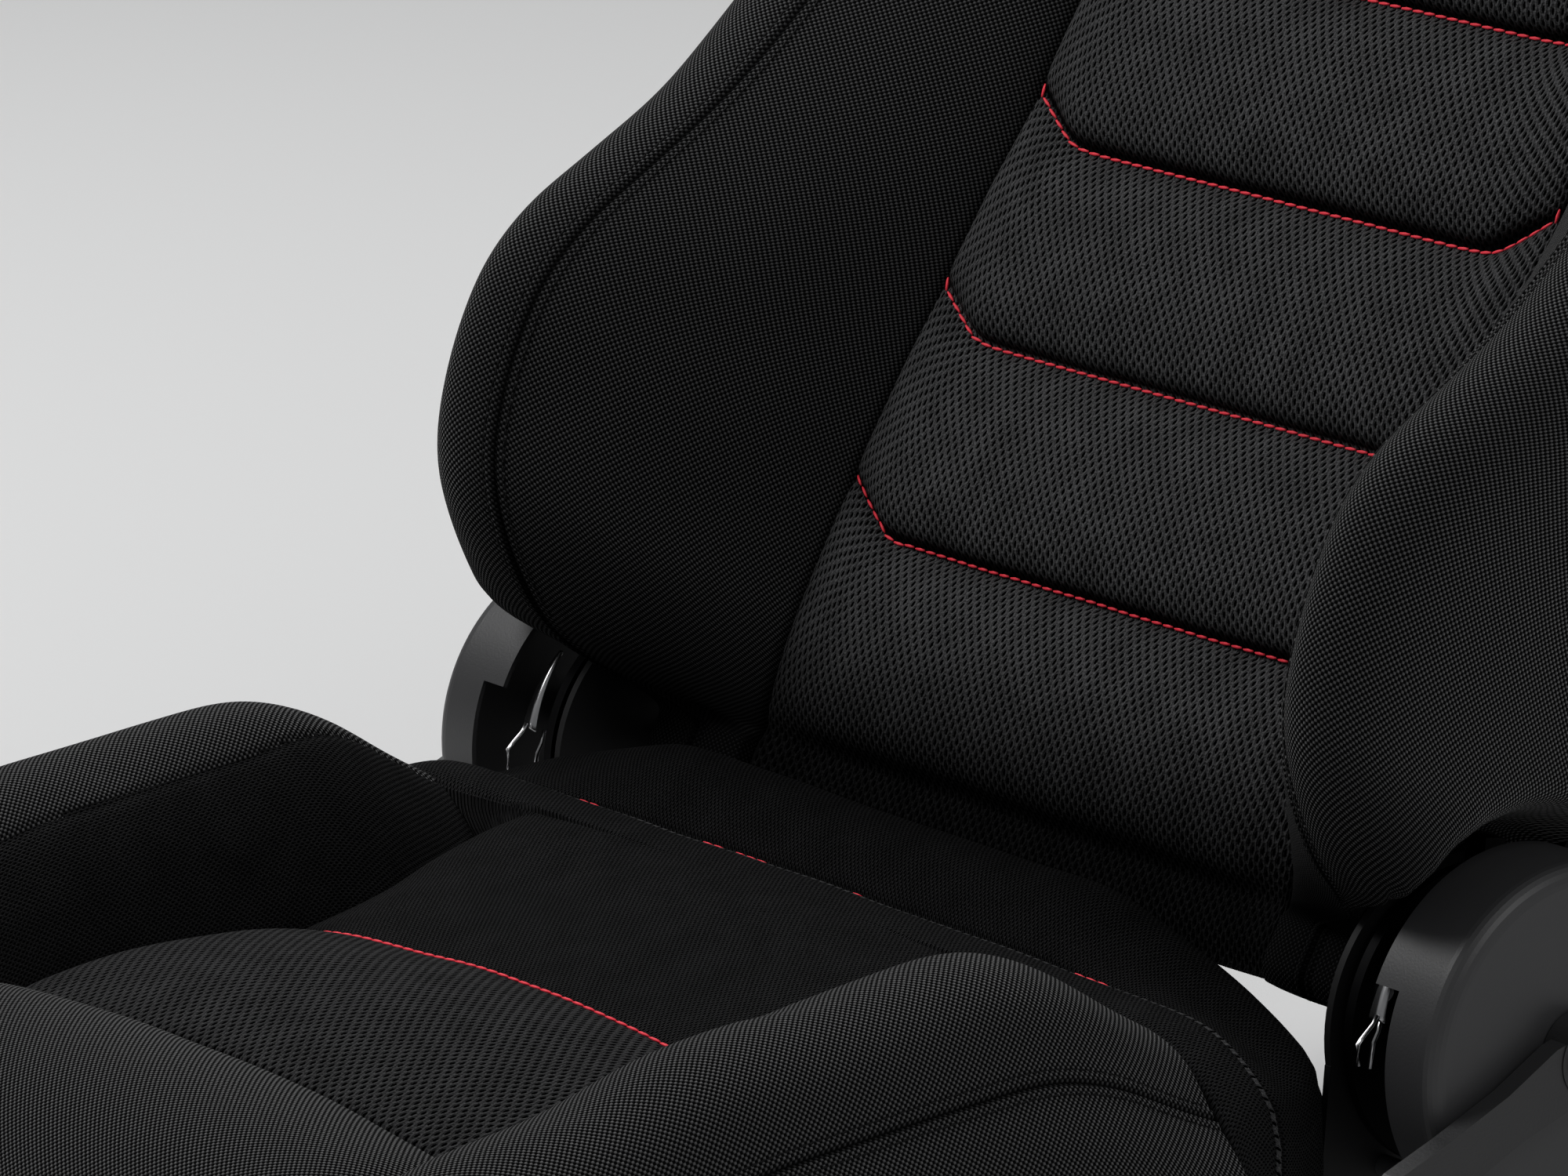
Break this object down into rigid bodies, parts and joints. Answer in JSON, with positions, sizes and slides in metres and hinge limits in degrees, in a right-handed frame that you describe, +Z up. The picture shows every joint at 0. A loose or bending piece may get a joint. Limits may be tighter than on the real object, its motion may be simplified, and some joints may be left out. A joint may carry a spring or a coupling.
{
  "type": "racing seat",
  "caption": "Reclining sport seat with woven bolsters, mesh inserts with red channel stitching, harness slots and a sliding rail base.",
  "frame": {"origin": "centre of the four floor bolt holes, on the underside of the rails", "axes": "+Z up, the sitter faces -Y, +X is the sitter's left"},
  "size_m": [0.5952, 0.954, 0.8403],
  "materials": {
    "mesh_cloth": "spacer mesh with staggered oval holes",
    "woven_cloth": "matt basket weave",
    "frame_paint": "satin black powder coat",
    "rail_steel": "zinc-plated",
    "recliner_steel": "dark, oiled",
    "spring_steel": "drawn wire and strip",
    "cover_plastic": "satin, fine grain",
    "shell_plastic": "grained",
    "lever_plastic": "satin",
    "glide_nylon": "natural",
    "webbing": "elastic webbing"
  },
  "bodies": {
    "floor_rails": {"lower_rail_left": "rail_steel", "lower_rail_right": "rail_steel"},
    "seat_base": {"upper_rail_left": "rail_steel", "upper_rail_right": "rail_steel", "rail_glides": "glide_nylon", "front_brackets": "frame_paint", "rear_brackets": "frame_paint", "side_plate_left": "frame_paint", "side_plate_right": "frame_paint", "front_tube": "frame_paint", "rear_tube": "frame_paint", "cushion_springs": "spring_steel", "frame_bolts": "rail_steel", "cushion_insert": "mesh_cloth", "cushion_nose": "mesh_cloth", "cushion_bolster_left": "woven_cloth", "cushion_bolster_right": "woven_cloth", "recliner_disc_left": "recliner_steel", "recliner_disc_right": "recliner_steel", "recliner_keepers": "rail_steel", "spiral_spring_left": "spring_steel", "spiral_spring_right": "spring_steel", "recliner_cover_left": "cover_plastic", "recliner_cover_right": "cover_plastic"},
    "slide_release": {"release_bar": "frame_paint"},
    "recline_release": {"cross_shaft": "rail_steel", "recline_lever_left": "lever_plastic", "recline_lever_right": "lever_plastic", "lever_caps": "lever_plastic"},
    "backrest": {"recliner_arm_left": "recliner_steel", "recliner_arm_right": "recliner_steel", "arm_rivets": "rail_steel", "back_post_left": "frame_paint", "back_post_right": "frame_paint", "back_top_tube": "frame_paint", "back_low_tube": "frame_paint", "back_webbing": "webbing", "head_spine": "frame_paint", "head_plate": "frame_paint", "back_insert": "mesh_cloth", "back_bolster_left": "woven_cloth", "back_bolster_right": "woven_cloth", "shoulder_wing_left": "woven_cloth", "shoulder_wing_right": "woven_cloth", "head_pad": "woven_cloth", "harness_bezel_left": "shell_plastic", "harness_bezel_right": "shell_plastic", "back_shell": "shell_plastic"}
  },
  "joints": [
    {"name": "seat_slide", "type": "slide", "parent": "floor_rails", "child": "seat_base", "axis": [0, 1, 0], "range_m": [-0.1, 0.1]},
    {"name": "back_recline", "type": "hinge", "parent": "seat_base", "child": "backrest", "pos_m": [0, 0.175, 0.175], "axis": [-1, 0, 0], "range_deg": [-25, 35]},
    {"name": "recline_levers", "type": "hinge", "parent": "seat_base", "child": "recline_release", "pos_m": [0, 0.175, 0.175], "axis": [-1, 0, 0], "range_deg": [0, 25], "stiffness_Nm_per_rad": 4, "springref_deg": -17.19},
    {"name": "release_lift", "type": "hinge", "parent": "seat_base", "child": "slide_release", "pos_m": [0, -0.03, 0.034], "axis": [-1, 0, 0], "range_deg": [0, 8], "stiffness_Nm_per_rad": 20, "springref_deg": -11.46}
  ]
}
